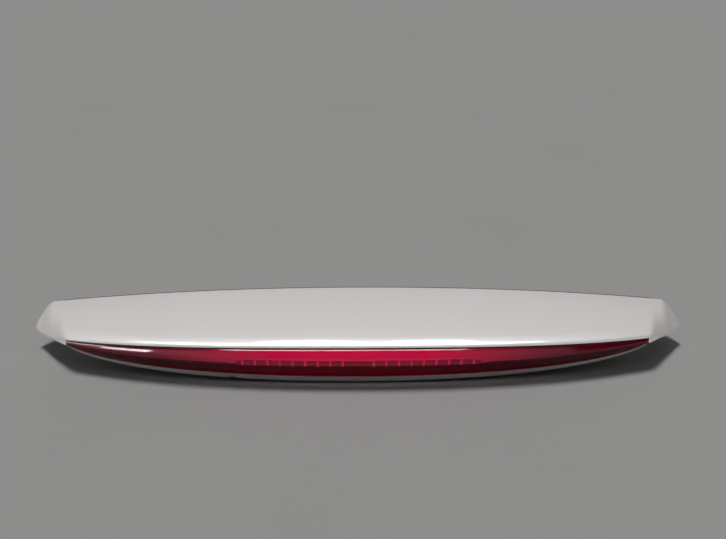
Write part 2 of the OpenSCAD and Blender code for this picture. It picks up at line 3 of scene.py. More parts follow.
import bmesh
import bpy
import numpy as np
from mathutils import Euler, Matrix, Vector


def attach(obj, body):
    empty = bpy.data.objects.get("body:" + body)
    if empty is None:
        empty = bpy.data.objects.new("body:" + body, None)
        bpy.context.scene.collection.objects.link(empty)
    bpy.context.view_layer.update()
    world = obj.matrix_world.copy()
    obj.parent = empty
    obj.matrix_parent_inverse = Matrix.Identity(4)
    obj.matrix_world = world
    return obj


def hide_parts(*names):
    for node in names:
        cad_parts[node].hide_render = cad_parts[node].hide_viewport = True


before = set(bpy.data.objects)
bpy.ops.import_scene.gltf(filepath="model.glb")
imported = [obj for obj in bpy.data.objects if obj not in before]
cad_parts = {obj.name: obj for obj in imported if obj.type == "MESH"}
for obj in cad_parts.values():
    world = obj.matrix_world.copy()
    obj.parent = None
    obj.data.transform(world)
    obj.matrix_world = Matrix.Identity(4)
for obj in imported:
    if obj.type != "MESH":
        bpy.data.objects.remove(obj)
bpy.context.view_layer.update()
MM = 0.001


# Camera, at the photograph's viewing angle

IMAGE_WIDTH = 726
SENSOR = 36.0
FOCAL_PX = 536.0
CAMERA_PLACE = (3.28, -800.86, 588.06)
CAMERA_PITCH, CAMERA_YAW = 29.92, 0.37
CLIP_NEAR, CLIP_FAR = 0.02, 50.0


def make_camera():
    data = bpy.data.cameras.new("camera")
    data.sensor_fit = "HORIZONTAL"
    data.sensor_width = SENSOR
    data.lens = FOCAL_PX / IMAGE_WIDTH * SENSOR
    data.clip_start, data.clip_end = CLIP_NEAR, CLIP_FAR
    camera = bpy.data.objects.new("camera", data)
    camera.location = Vector(CAMERA_PLACE) * MM
    camera.rotation_euler = Euler((math.radians(90 - CAMERA_PITCH), 0, math.radians(-CAMERA_YAW)))
    bpy.context.scene.collection.objects.link(camera)
    bpy.context.scene.camera = camera


make_camera()


# Sizes of the spoiler in millimetres, the same as in its source but for the wings' broader roll

# Top surface
WIDTH, CROWN, CHORD, SLOPE, CAMBER = 1190, 28, 153, 6, 4
SWEEP, SWEEP_SQUARE, SWEEP_FOURTH = 0.451 * CHORD, 0.6, 0.4
LEAD_BOW, LEAD_Y, LEAD_Z = 5, 0.333 * CHORD, 61
SKIN_WALL, ROLL_W, ROLL_DROP, EDGE_H = 2.8, 18, 3.5, 5.5
RETURN_D, FRONT_FLANGE, FRONT_R = 11, 9, 3

# End wings, with the blends at their front corner and along their bend
BEND_FRONT, BEND_REAR, TIP_BACK, WING_ANGLE, WING_WALL_H = 17, 55, 45, 40, 14.5
WING_ROLL, WING_ROLL_RUN, WING_ROLL_W, WALL_FULL_DEPTH = 0.85, 34, 62, 80
CORNER_BLEND, BEND_BLEND, END_SLOPE = 20, 10, 0.55

# Lens, lamp housing and diodes
LENS_INSET, LENS_UPPER_H, LENS_LOWER_H, LENS_END_H = 90, 30.5, 21.5, 4
LENS_LEAN, LENS_WALL, LENS_GAP = 10, 2.8, 3.5
HOUSING_D, HOUSING_END_D, HOUSING_WALL = 0.17 * CHORD, 7, 2
LED_PITCH, LED_FIRST, LED_SIDE, LED_MARGIN = 21.2, 26, 9, 12

# Lower skin and what it is mounted with
FLOOR_WALL, LIP_H, LIP_END_H, SHELF_D, LAND_Z = 2.6, 11.5, 4, 0.3 * CHORD, 2.4
NOTCH_W, NOTCH_H, NOTCH_X = 19, 4.5, 214
STUD_X, STUD_Y, STUD_R, STUD_CLEAR = 330, 18, 3, 0.4
PIN_R, PIN_L, PIN_X = 4, 14, 150
SEAT_GAP = 0.2

HALF = WIDTH / 2
LENS_HALF = HALF - LENS_INSET
BOX_HALF = LED_FIRST + (LED_SIDE - 1) * LED_PITCH + LED_MARGIN
CORNER_X = HALF - BEND_FRONT
WING_START = HALF - BEND_REAR
TIP_Y = LEAD_Y - TIP_BACK
TRAIL_MID = LEAD_Y - CHORD

# How blunt the ends of the lamp's forms are: a smaller power keeps the full size further out
LENS_BLUNT, CREASE_BLUNT, UPPER_BLUNT, HOUSING_BLUNT, LIP_BLUNT = 0.5, 0.6, 0.7, 0.4, 0.45


# Curves of the spoiler

def mix(a, b, f):
    return a + (b - a) * f


def ease(a, b, v):
    f = min(max((v - a) / (b - a), 0), 1)
    return f * f * (3 - 2 * f)


def soft_min(a, b, k):
    return min(a, b) - max(k - abs(a - b), 0) ** 2 / (4 * k)


def bulge(x, p):
    """One at the middle of the lens and nothing at its ends."""
    return max(1 - (x / LENS_HALF) ** 2, 0) ** p


def steps_to(a, b, n):
    """Values in n equal steps from a to b, without a itself."""
    return [mix(a, b, i / n) for i in range(1, n + 1)]


def both_sides(values):
    return [-v for v in values[:0:-1]] + list(values)


def bowed_front(x):
    return LEAD_Y - LEAD_BOW * (x / HALF) ** 4


def bowed_trail(x):
    t = x / HALF
    return TRAIL_MID + SWEEP * (SWEEP_SQUARE * t**2 + SWEEP_FOURTH * t**4)


TRAIL_END = bowed_trail(LENS_HALF)
TRAIL_CURVE = (TIP_Y - TRAIL_END - END_SLOPE * LENS_INSET) / LENS_INSET**2


def trail_y(x):
    d = abs(x) - LENS_HALF
    return bowed_trail(x) if d < 0 else TRAIL_END + END_SLOPE * d + TRAIL_CURVE * d**2


def front_y(x):
    slope = (TIP_BACK - LEAD_BOW) / BEND_FRONT
    return soft_min(bowed_front(x), TIP_Y + slope * (HALF - abs(x)), CORNER_BLEND)


def depth_at(x):
    return front_y(x) - trail_y(x)


BEND_RUN = (BEND_REAR - BEND_FRONT, LEAD_Y - LEAD_BOW - trail_y(WING_START))


def wing_drop(x, y):
    across = (abs(x) - CORNER_X) * BEND_RUN[1] - (y - LEAD_Y + LEAD_BOW) * BEND_RUN[0]
    past_bend = soft_min(-across / math.hypot(*BEND_RUN), 0, BEND_BLEND)
    return -math.tan(math.radians(WING_ANGLE)) * past_bend


def crown_at(x):
    return CROWN * (x / HALF) ** 2


def top_z(x, y):
    """Height of the painted top surface."""
    d = bowed_front(x) - y
    u = min(max(d / (bowed_front(x) - bowed_trail(x)), 0), 1)
    r = max(1 - (y - trail_y(x)) / ROLL_W, 0)
    sloped = LEAD_Z - crown_at(x) - d * math.tan(math.radians(SLOPE)) + 4 * CAMBER * u * (1 - u)
    return sloped - ROLL_DROP * r * r - wing_roll_drop(x, y) - wing_drop(x, y)


# Outlines of a section across the spoiler are lists of (y, z) points, with their inside on the left

CUT_LIMIT = 0.45


def point(y, z):
    return np.array([y, z], float)


def unit(v):
    return v / max(math.hypot(*v), 1e-9)


def inset(path, wall):
    runs = [unit(b - a) for a, b in zip(path, path[1:])]
    sides = [point(-r[1], r[0]) for r in runs]
    moved = [path[0] + wall * sides[0]]
    for p, a, b in zip(path[1:-1], sides, sides[1:]):
        moved.append(p + wall * (a + b) / (1 + a @ b))
    return moved + [path[-1] + wall * sides[-1]]


def divided(path, counts):
    """The path with each of its runs divided into equal parts."""
    points = [path[0]]
    for a, b, n in zip(path, path[1:], counts):
        points += steps_to(a, b, n)
    return points


def rounded(path, cuts, steps=4):
    """The path with an arc at each corner named in cuts, which starts that far before it."""
    points = []
    for i, p in enumerate(path):
        if i not in cuts:
            points.append(p)
            continue
        before, after = path[i - 1] - p, path[i + 1] - p
        a = p + unit(before) * min(cuts[i], CUT_LIMIT * math.hypot(*before))
        b = p + unit(after) * min(cuts[i], CUT_LIMIT * math.hypot(*after))
        for s in range(steps + 1):
            f = s / steps
            points.append(mix(mix(a, p, f), mix(p, b, f), f))
    return points


def at_x(x, path):
    return [(x, q[0], q[1]) for q in path]


# Sections of the top skin

HEM_START, HEM_END = 0.5, 4.5
FLANGE_FADE, FLANGE_END_D = (30, 4), 3
LENS_SIDE_WALL, LENS_SIDE_RUN, WALL_POWER = 0.86, 25, 1.3
ROLL_WIDEN_RUN, ROLL_DEPTH_SHARE = 1.5 * WING_ROLL_RUN, 0.75
WALL_DEPTH_SHARE, FULL_SIZE_DEPTH = 0.25, 26
FLANGE_LEAN, EDGE_LEAN = 0.3, 0.2
FRONT_ROUND = ((0, 1.2), (0.25, 0.4), (1, 0.05))


def hem(x):
    """Share of the wing's rear wall that takes the place of the flange over the lamp."""
    return ease(LENS_HALF + HEM_START, LENS_HALF + HEM_END, abs(x))


def flange_at(x):
    fade = ease(LENS_HALF - FLANGE_FADE[0], LENS_HALF - FLANGE_FADE[1], abs(x))
    return mix(RETURN_D, FLANGE_END_D, fade) * (1 - hem(x))


def full_wall_at(x):
    """Height of the wing's rear wall, with the part of it that its roll takes up."""
    lip_side = mix(LENS_SIDE_WALL, 1, ease(LENS_HALF, LENS_HALF + LENS_SIDE_RUN, abs(x)))
    return lip_side * WING_WALL_H * min(1, depth_at(x) / WALL_FULL_DEPTH) ** WALL_POWER


def roll_share(x):
    return ease(LENS_HALF + HEM_START, LENS_HALF + WING_ROLL_RUN, abs(x))


def wing_roll_at(x):
    return WING_ROLL * full_wall_at(x) * roll_share(x)


def wing_roll_drop(x, y):
    """How far the wing's surface has curved down at y, towards its rear edge."""
    widest = mix(ROLL_W, WING_ROLL_W, ease(LENS_HALF, LENS_HALF + ROLL_WIDEN_RUN, abs(x)))
    run = min(widest, ROLL_DEPTH_SHARE * max(depth_at(x), 1))
    return wing_roll_at(x) * max(1 - (y - trail_y(x)) / run, 0) ** 2


def wing_wall_at(x):
    return full_wall_at(x) - wing_roll_at(x)


def skin_wall_at(x):
    return min(SKIN_WALL, WALL_DEPTH_SHARE * depth_at(x))


def edge_scale(x):
    """Scale of the skin's edges, which shrink only in the last bit of a tip."""
    return min(1, depth_at(x) / FULL_SIZE_DEPTH)


# How many runs the top and its roll have, and how many parts each run is divided into
TOP_RUNS, ROLL_RUNS = 6, 4
FRONT_COUNTS, REAR_COUNTS = [1, 2, 2], [4, 4, 3]
SKIN_COUNTS = FRONT_COUNTS + [5] * TOP_RUNS + [3] * ROLL_RUNS + REAR_COUNTS


def skin_corners(x):
    k = edge_scale(x)
    yf, yt, r, band = front_y(x), trail_y(x), FRONT_R * k, ROLL_W * k
    zf, zt = top_z(x, yf), top_z(x, yt)
    front = [point(yf - FLANGE_LEAN * r, zf - FRONT_FLANGE * k)]
    front += [point(yf - back * r, zf - down * r) for back, down in FRONT_ROUND]
    top = steps_to(yf - r, yt + band, TOP_RUNS)
    top += [yt + band * (1 - i / ROLL_RUNS) for i in range(1, ROLL_RUNS + 1)]
    low = point(yt + k, zt - EDGE_H * k)
    rear = [point(yt + EDGE_LEAN * k, zt - 0.5 * EDGE_H * k), low,
            low + point(flange_at(x), -wing_wall_at(x) * hem(x))]
    return front + [point(y, top_z(x, y)) for y in top] + rear


# Places in the divided outline: the top, the rear edge and the low corner under it
SKIN_EDGE = sum(SKIN_COUNTS) - sum(REAR_COUNTS)
TOP_RANGE = range(sum(FRONT_COUNTS), SKIN_EDGE)
SKIN_LOW = SKIN_EDGE + REAR_COUNTS[0] + REAR_COUNTS[1]
FRONT_TOP, SKIN_EASE = len(FRONT_ROUND), 0.2
NARROW_ROLL, BROAD_ROLL, ROLL_UNDER = 2, 4, 3
FLANGE_CUT, LOW_CUT = 0.8, 1.2


def skin_path(x, wall=0):
    corners = skin_corners(x)
    path = divided(inset(corners, wall) if wall else corners, SKIN_COUNTS)
    if not wall:
        front_top = corners[FRONT_TOP][1]
        for i in TOP_RANGE:
            path[i] = point(path[i][0], soft_min(top_z(x, path[i][0]), front_top, SKIN_EASE))
    broad = roll_share(x)
    for over, share in ((NARROW_ROLL, 1 - broad), (BROAD_ROLL, broad)):
        first, last = SKIN_EDGE - over, SKIN_EDGE + ROLL_UNDER
        a, b, c = path[first], path[SKIN_EDGE], path[last]
        arc = [mix(mix(a, b, f), mix(b, c, f), f) for f in np.linspace(0, 1, last - first + 1)]
        path[first:last + 1] = [mix(p, q, share) for p, q in zip(path[first:last + 1], arc)]
    return rounded(path, {1: FLANGE_CUT, SKIN_LOW: LOW_CUT * edge_scale(x)}, 5)


# Sections of the lens, which has an upper face and a lower face that meet in a crease

GAP_END_SHARE, LENS_WALL_SHARE = 0.5, 0.4
CREASE_OUT, FOOT_IN, UPPER_END_H, LOWER_END_H = 1, 2, 3, 2
# Points down each face: the share of its height and how far the face bows out there
FACE_MIDDLE, FACE_REST = 0.5, 0.43
UPPER_FACE = ((0.1, -0.5, 0.4), (FACE_MIDDLE, -1.2, 0.8), (0.93, 0, 0))
LOWER_FACE = ((0.07, 0, 0), (0.6, -0.4, 0))
FROSTED_MIDDLE, FROSTED_END, FROSTED_FADE = 0.63, 0.84, (-9, 1)
LENS_CUTS = {1: 3, 2: 5, 4: 1.2, 5: 1.2, 6: 8}


def edge_low(x):
    return point(trail_y(x) + 1, top_z(x, trail_y(x)) - EDGE_H)


def lens_top(x):
    return edge_low(x) + point(0, -LENS_GAP * mix(GAP_END_SHARE, 1, bulge(x, LENS_BLUNT)))


def lens_crease(x):
    down = (LENS_GAP + LENS_END_H) / 2 + (LENS_UPPER_H - UPPER_END_H) * bulge(x, UPPER_BLUNT)
    return edge_low(x) + point(-CREASE_OUT - LENS_LEAN * bulge(x, CREASE_BLUNT), -down)


def lens_foot(x):
    k = bulge(x, LENS_BLUNT)
    return lens_crease(x) + point(FOOT_IN * k, -LENS_END_H / 2 - (LENS_LOWER_H - LOWER_END_H) * k)


def lens_corners(x):
    a, b, c, k = lens_top(x), lens_crease(x), lens_foot(x), bulge(x, LENS_BLUNT)
    upper = [mix(a, b, f) + k * point(y, z) for f, y, z in UPPER_FACE]
    lower = [mix(b, c, f) + k * point(y, z) for f, y, z in LOWER_FACE]
    return [a] + upper + lower + [c]


def lens_wall_at(x):
    return min(LENS_WALL, LENS_WALL_SHARE * (lens_top(x)[1] - lens_foot(x)[1]))


def frosted_share(x):
    """How far down the upper face the frosted strip reaches, deeper beside the light box."""
    beside = ease(BOX_HALF + FROSTED_FADE[0], BOX_HALF + FROSTED_FADE[1], abs(x))
    return mix(FROSTED_MIDDLE, FROSTED_END, beside)


def lens_path(x, wall=0):
    corners = lens_corners(x)
    path = inset(corners, wall) if wall else corners
    path.insert(3, mix(path[2], path[3], (frosted_share(x) - FACE_MIDDLE) / FACE_REST))
    return rounded(path, LENS_CUTS, 5)


def is_frosted(x, z):
    """True above the line on the lens where its frosted strip ends."""
    return z > mix(lens_top(x)[1], lens_crease(x)[1], frosted_share(x))


# Sections of the lamp housing, its mirror, the clear optic and the gasket

# Corners at the housing's back, low and high: shares of its depth across and up, and a step up
HOUSING_LOW = ((-3, 1.5, 0), (0, 4.5, 0.1))
HOUSING_HIGH = ((0, -3, -0.1), (-3, -0.5, 0))
HOUSING_CUTS = dict.fromkeys(range(1, 5), 1.5)
LOW_SEAT, HIGH_SEAT, GASKET_SHARES = 0.1, 0.3, (0.15, 0.55)
HOUSING_WALL_SHARE = 0.7


def housing_back(x):
    return edge_low(x)[0] + mix(HOUSING_END_D, HOUSING_D, bulge(x, HOUSING_BLUNT))


def lens_inside(x):
    return inset(lens_corners(x), lens_wall_at(x) + SEAT_GAP)


def housing_corners(x):
    f = lens_inside(x)
    top, low, y, k = f[0][1], f[-1][1], housing_back(x), bulge(x, HOUSING_BLUNT)
    back = [point(y + across * k, low + up * k + step) for across, up, step in HOUSING_LOW]
    back += [point(y + across * k, top + up * k + step) for across, up, step in HOUSING_HIGH]
    return [mix(f[-1], f[-2], LOW_SEAT)] + back + [mix(f[0], f[1], HIGH_SEAT)]


def housing_wall_at(x):
    return min(HOUSING_WALL, HOUSING_WALL_SHARE * lens_wall_at(x))


def housing_path(x, wall=0):
    corners = housing_corners(x)
    return rounded(inset(corners, wall) if wall else corners, HOUSING_CUTS, 2)


OPTIC_H, OPTIC_DEPTH, OPTIC_WALL, OPTIC_BOW, OPTIC_BACK = 18, 19, 1.5, 1.5, 0.1
OPTIC_CUTS, OPTIC_INNER_CUTS = {1: 1.5, 2: 6, 3: 1.5}, {1: 0.8, 2: 6, 3: 0.8}
RIB_W, RIB_OUT = 2.4, 1.4
LED_DROP = 2
LED_SIDE_XS = [LED_FIRST + i * LED_PITCH for i in range(LED_SIDE)]
LED_XS = [-x for x in reversed(LED_SIDE_XS)] + LED_SIDE_XS


def box_back(x):
    return housing_back(x) - HOUSING_WALL - SEAT_GAP


def led_z(x):
    return lens_crease(x)[1] - LED_DROP


def rib_at(x):
    """How far the optic stands out at x: a rounded rib in front of each diode."""
    near = min(abs(x - led) for led in LED_XS)
    return RIB_OUT * max(1 - (near / RIB_W) ** 2, 0)


def optic_corners(x, out):
    y, z, h = box_back(x), led_z(x), OPTIC_H / 2
    back, front = y - OPTIC_BACK, y - OPTIC_DEPTH - out
    return [point(back, z - h), point(front, z - h), point(front - OPTIC_BOW, z),
            point(front, z + h), point(back, z + h)]


def optic_path(x):
    return rounded(optic_corners(x, rib_at(x)), OPTIC_CUTS, 3)


def optic_inside(x):
    p, w = optic_corners(x, 0), OPTIC_WALL
    path = [p[0] + [0, w], p[1] + [w, w], p[2] + [w, 0], p[3] + [w, -w], p[4] + [0, -w]]
    return rounded(path, OPTIC_INNER_CUTS, 3)


MIRROR_BACK, MIRROR_DROP, MIRROR_END_DROP = 0.8, 2.6, 0.5
MIRROR_REACH, MIRROR_FALL, MIRROR_HOLLOW = 0.62, 0.5, 0.6
MIRROR_WALL, MIRROR_WALL_SHARE, MIRROR_WALL_END = 1.2, 0.4, 0.3


def mirror_path(x, wall=0):
    inside, k = lens_inside(x), bulge(x, HOUSING_BLUNT)
    a = point(box_back(x) - MIRROR_BACK,
              inside[0][1] - HOUSING_WALL - MIRROR_DROP * k - MIRROR_END_DROP)
    b = a - MIRROR_REACH * (a[0] - inside[4][0]) * point(1, MIRROR_FALL)
    face = [a, mix(a, b, 0.5) - point(0, MIRROR_HOLLOW * k), b]
    return rounded(inset(face, wall) if wall else face, {1: 8}, 6)


def mirror_wall_at(x):
    return min(MIRROR_WALL, MIRROR_WALL_SHARE * housing_wall_at(x) + MIRROR_WALL_END)


def gasket_corners(x):
    p = housing_corners(x)
    return [mix(p[-1], p[-2], share) for share in GASKET_SHARES]


# Sections of the lower skin: painted lip, shelf under the lamp, riser, mounting land, front flange

LIP_TUCK, LIP_SET, LIP_CORNER = (-1, 1.5), (0.3, -1), 0.3
LIP_FILLET, LIP_FILLET_SHARE = 3, 0.6
SHELF_RISE, RISER_D, LAND_INSET, LAND_STEP = 1.5, 0.078 * CHORD, 0.11 * CHORD, 1
RAMP_D, RAMP_SHARE, FLANGE_FOOT, FLANGE_TOP = 6, 0.7, 2, 1.5
WING_SHARES, WING_BELLY, FLOOR_FADE = (0.3, 0.5, 0.75, 0.9), 3, (110, 10)
FLOOR_CUTS = {1: 0.8, 2: 1.2, 3: 1.2, 4: 3, 5: 3, 6: 3, 7: 3, 8: 2.5}
FLOOR_CLEAR = 0.1


def lip_at(x):
    return mix(LIP_END_H, LIP_H, bulge(x, LIP_BLUNT))


def lip_fillet(x):
    return min(LIP_FILLET, LIP_FILLET_SHARE * lip_at(x))


def lip_top(x):
    tuck = ease(LENS_HALF + LIP_TUCK[0], LENS_HALF + LIP_TUCK[1], abs(x))
    inward = flange_at(x) + skin_wall_at(x) + SEAT_GAP
    wing = edge_low(x) + point(inward, LIP_END_H - wing_wall_at(x))
    return mix(lens_foot(x) + point(*LIP_SET), wing, tuck)


def lip_low(x):
    return lip_top(x) + point(0, -lip_at(x))


def front_edge(x):
    y = front_y(x)
    return point(y - FLANGE_LEAN * FRONT_R - skin_wall_at(x) - SEAT_GAP, top_z(x, y))


def land_at(x):
    return LAND_Z + crown_at(STUD_X) - crown_at(x)


def floor_part(x):
    """The lower skin's path between its lip and its front flange."""
    a, e, z = lip_low(x), front_edge(x), land_at(x)
    foot = e + point(0, -FRONT_FLANGE - FLANGE_FOOT)
    middle = [a + point(SHELF_D, SHELF_RISE), point(a[0] + SHELF_D + RISER_D, z),
              point(e[0] - LAND_INSET, z + LAND_STEP),
              point(e[0] - RAMP_D, mix(z, foot[1], RAMP_SHARE))]
    wing = [mix(a, foot, f) + point(0, -WING_BELLY * math.sin(math.pi * f)) for f in WING_SHARES]
    fade = ease(LENS_HALF - FLOOR_FADE[0], LENS_HALF - FLOOR_FADE[1], abs(x))
    return [a + point(lip_fillet(x), 0)] + [mix(m, w, fade) for m, w in zip(middle, wing)] + [foot]


def floor_path(x, wall=0):
    a, r = lip_low(x), lip_fillet(x)
    corners = ([lip_top(x), a + point(0, r), a + LIP_CORNER * r * point(1, 1)] + floor_part(x)
               + [front_edge(x) + point(0, -SKIN_WALL - FLANGE_TOP)])
    return rounded(inset(corners, wall) if wall else corners, FLOOR_CUTS)


def floor_z(x, y):
    part = floor_part(x)
    return float(np.interp(y, [p[0] for p in part], [p[1] for p in part]))


def land_top(x, y):
    return floor_z(x, y) + FLOOR_WALL + FLOOR_CLEAR


# Stations across the width lie closer together towards the ends of the lens and in the wings

LENS_STEPS, HEM_STEPS, WING_STEPS, TIP_STEPS, FLOOR_END_STEPS = 64, 9, 8, 20, 12
TIP_RUN, TIP_GAP, TIP_CROWDING, FLOOR_INSET = 2 * BEND_FRONT, 0.4, 1.5, 26
HALF_LENS = [LENS_HALF * math.sin(math.pi / 2 * i / LENS_STEPS) for i in range(LENS_STEPS + 1)]
LENS_STATIONS = both_sides(HALF_LENS)
HEM = [LENS_HALF + HEM_START * i for i in range(1, HEM_STEPS + 1)]
TIP = [HALF - TIP_GAP - (TIP_RUN - TIP_GAP) * (1 - i / TIP_STEPS) ** TIP_CROWDING
       for i in range(1, TIP_STEPS + 1)]
SKIN_STATIONS = both_sides(HALF_LENS + HEM + steps_to(HEM[-1], WING_START, WING_STEPS)
                           + steps_to(WING_START, HALF - TIP_RUN, WING_STEPS) + TIP)
FLOOR_HEM = [LENS_HALF + d for d in (0.3, 0.7, 1.1, 1.5, 2.3, 3.2, 4.5)]
FLOOR_STATIONS = both_sides(
    HALF_LENS + FLOOR_HEM + steps_to(HEM[-1], HALF - FLOOR_INSET, FLOOR_END_STEPS))


# Mesh making, with every size in millimetres

ROUND_SIDES = 48
AXIS_R = 0.01
JOIN_WITHIN = 0.001 * MM
SHARP_ANGLE = 32


class Solid:
    """Vertices and faces of one piece, gathered from closed parts."""

    def __init__(self):
        self.points, self.faces = [], []

    def add(self, points, faces):
        start = len(self.points)
        self.points += [tuple(p) for p in points]
        self.faces += [tuple(start + i for i in face) for face in faces]
        return self

    def wall(self, outer, inner):
        """A closed wall between two faces, each a list of stations across the width."""
        n, m = len(outer), len(outer[0])

        def o(i, j):
            return i * m + j

        def q(i, j):
            return (n + i) * m + j

        faces = []
        for i in range(n - 1):
            for j in range(m - 1):
                faces.append((o(i, j), o(i, j + 1), o(i + 1, j + 1), o(i + 1, j)))
                faces.append((q(i, j), q(i + 1, j), q(i + 1, j + 1), q(i, j + 1)))
            faces.append((o(i, 0), o(i + 1, 0), q(i + 1, 0), q(i, 0)))
            faces.append((o(i, m - 1), q(i, m - 1), q(i + 1, m - 1), o(i + 1, m - 1)))
        for j in range(m - 1):
            faces.append((o(0, j), q(0, j), q(0, j + 1), o(0, j + 1)))
            faces.append((o(n - 1, j), o(n - 1, j + 1), q(n - 1, j + 1), q(n - 1, j)))
        return self.add([p for s in outer for p in s] + [p for s in inner for p in s], faces)

    def turned(self, outline, place):
        """A body turned about the vertical, from a closed outline of (radius, height) points."""
        n = len(outline)
        angles = [2 * math.pi * k / ROUND_SIDES for k in range(ROUND_SIDES)]
        points = [(place[0] + r * math.cos(a), place[1] + r * math.sin(a), place[2] + z)
                  for a in angles for r, z in outline]
        faces = []
        for k in range(ROUND_SIDES):
            here, beyond = k * n, (k + 1) % ROUND_SIDES * n
            faces += [(here + i, beyond + i, beyond + (i + 1) % n, here + (i + 1) % n)
                      for i in range(n)]
        return self.add(points, faces)

    def block(self, low, high):
        points = [(x, y, z) for x in (low[0], high[0]) for y in (low[1], high[1])
                  for z in (low[2], high[2])]
        faces = [(0, 1, 3, 2), (4, 6, 7, 5), (0, 4, 5, 1), (2, 3, 7, 6), (0, 2, 6, 4), (1, 5, 7, 3)]
        return self.add(points, faces)


def disc(r, low, high, hole=AXIS_R):
    """Outline of a cylinder or a ring, as (radius, height) points."""
    return [(hole, low), (r, low), (r, high), (hole, high)]


def loft(stations, outer, inner):
    return Solid().wall([at_x(x, outer(x)) for x in stations],
                        [at_x(x, inner(x)) for x in stations])


def smoothed(mesh):
    mesh.shade_smooth()
    mesh.set_sharp_from_angle(angle=math.radians(SHARP_ANGLE))


def settle(piece):
    """Joins points that fall together, faces every part outwards and sharpens the edges."""
    work = bmesh.new()
    work.from_mesh(piece.data)
    bmesh.ops.remove_doubles(work, verts=work.verts, dist=JOIN_WITHIN)
    bmesh.ops.dissolve_degenerate(work, edges=work.edges, dist=JOIN_WITHIN)
    bmesh.ops.recalc_face_normals(work, faces=work.faces)
    work.to_mesh(piece.data)
    work.free()
    smoothed(piece.data)


def as_object(name, solid):
    mesh = bpy.data.meshes.new(name)
    mesh.from_pydata((np.array(solid.points) * MM).tolist(), [], solid.faces)
    piece = bpy.data.objects.new(name, mesh)
    bpy.context.scene.collection.objects.link(piece)
    settle(piece)
    return piece


def carved(piece, tools):
    """Takes the tools out of the piece, and leaves a plain mesh."""
    cutter = as_object("cutter", tools)
    step = piece.modifiers.new("holes", "BOOLEAN")
    step.operation, step.solver, step.object = "DIFFERENCE", "EXACT", cutter
    graph = bpy.context.evaluated_depsgraph_get()
    mesh = bpy.data.meshes.new_from_object(piece.evaluated_get(graph))
    piece.modifiers.clear()
    piece.data = mesh
    mesh.name = piece.name
    bpy.data.objects.remove(cutter)
    settle(piece)
    return piece


def joined(name, *pieces):
    """One object of several, whose meshes are already settled."""
    work = bmesh.new()
    for piece in pieces:
        work.from_mesh(piece.data)
    mesh = bpy.data.meshes.new(name)
    work.to_mesh(mesh)
    work.free()
    for piece in pieces:
        bpy.data.objects.remove(piece)
    whole = bpy.data.objects.new(name, mesh)
    bpy.context.scene.collection.objects.link(whole)
    smoothed(mesh)
    return whole


# Finishes

def new_group(name, inputs, outputs):
    group = bpy.data.node_groups.new(name, "ShaderNodeTree")
    for label, kind, value in inputs:
        socket = group.interface.new_socket(label, in_out="INPUT", socket_type="NodeSocket" + kind)
        socket.default_value = value
    for label, kind in outputs:
        group.interface.new_socket(label, in_out="OUTPUT", socket_type="NodeSocket" + kind)
    return group, group.nodes.new("NodeGroupInput"), group.nodes.new("NodeGroupOutput")


def add_node(tree, kind, links=(), **values):
    """A shader node, with its settings from values and its inputs linked or set from links."""
    node = tree.nodes.new("ShaderNode" + kind)
    for key, value in values.items():
        setattr(node, key, value)
    for socket, source in dict(links).items():
        if isinstance(source, bpy.types.NodeSocket):
            tree.links.new(source, node.inputs[socket])
        else:
            node.inputs[socket].default_value = source
    return node


def surface_group():
    """Colour, roughness and height of a surface, with broad drift and fine grain."""
    group, given, result = new_group(
        "surface variation",
        [("Colour", "Color", (0.5, 0.5, 0.5, 1)), ("Drift", "Float", 0.05),
         ("Drift scale", "Float", 12.0), ("Roughness", "Float", 0.4),
         ("Roughness change", "Float", 0.1), ("Grain scale", "Float", 900.0),
         ("Grain in colour", "Float", 0.02)],
        [("Colour", "Color"), ("Roughness", "Float"), ("Height", "Float")])
    place = add_node(group, "TexCoord").outputs["Object"]

    def noise(scale, detail):
        return add_node(group, "TexNoise", {"Vector": place, "Scale": given.outputs[scale],
                                            "Detail": detail}).outputs["Fac"]

    def math_of(operation, a, b):
        return add_node(group, "Math", {0: a, 1: b}, operation=operation).outputs[0]

    drift, grain = noise("Drift scale", 3.0), noise("Grain scale", 2.0)
    broad = math_of("SUBTRACT", drift, 0.5)
    fine = math_of("SUBTRACT", grain, 0.5)
    shade = math_of("ADD", math_of("MULTIPLY", broad, given.outputs["Drift"]),
                    math_of("MULTIPLY", fine, given.outputs["Grain in colour"]))
    colour = add_node(group, "HueSaturation", {"Value": math_of("ADD", shade, 1.0),
                                               "Color": given.outputs["Colour"]})
    change = math_of("MULTIPLY", math_of("ADD", broad, fine), given.outputs["Roughness change"])
    rough = math_of("ADD", given.outputs["Roughness"], change)
    for label, source in (("Colour", colour.outputs["Color"]), ("Roughness", rough),
                          ("Height", grain)):
        group.links.new(source, result.inputs[label])
    return group


SURFACE = surface_group()


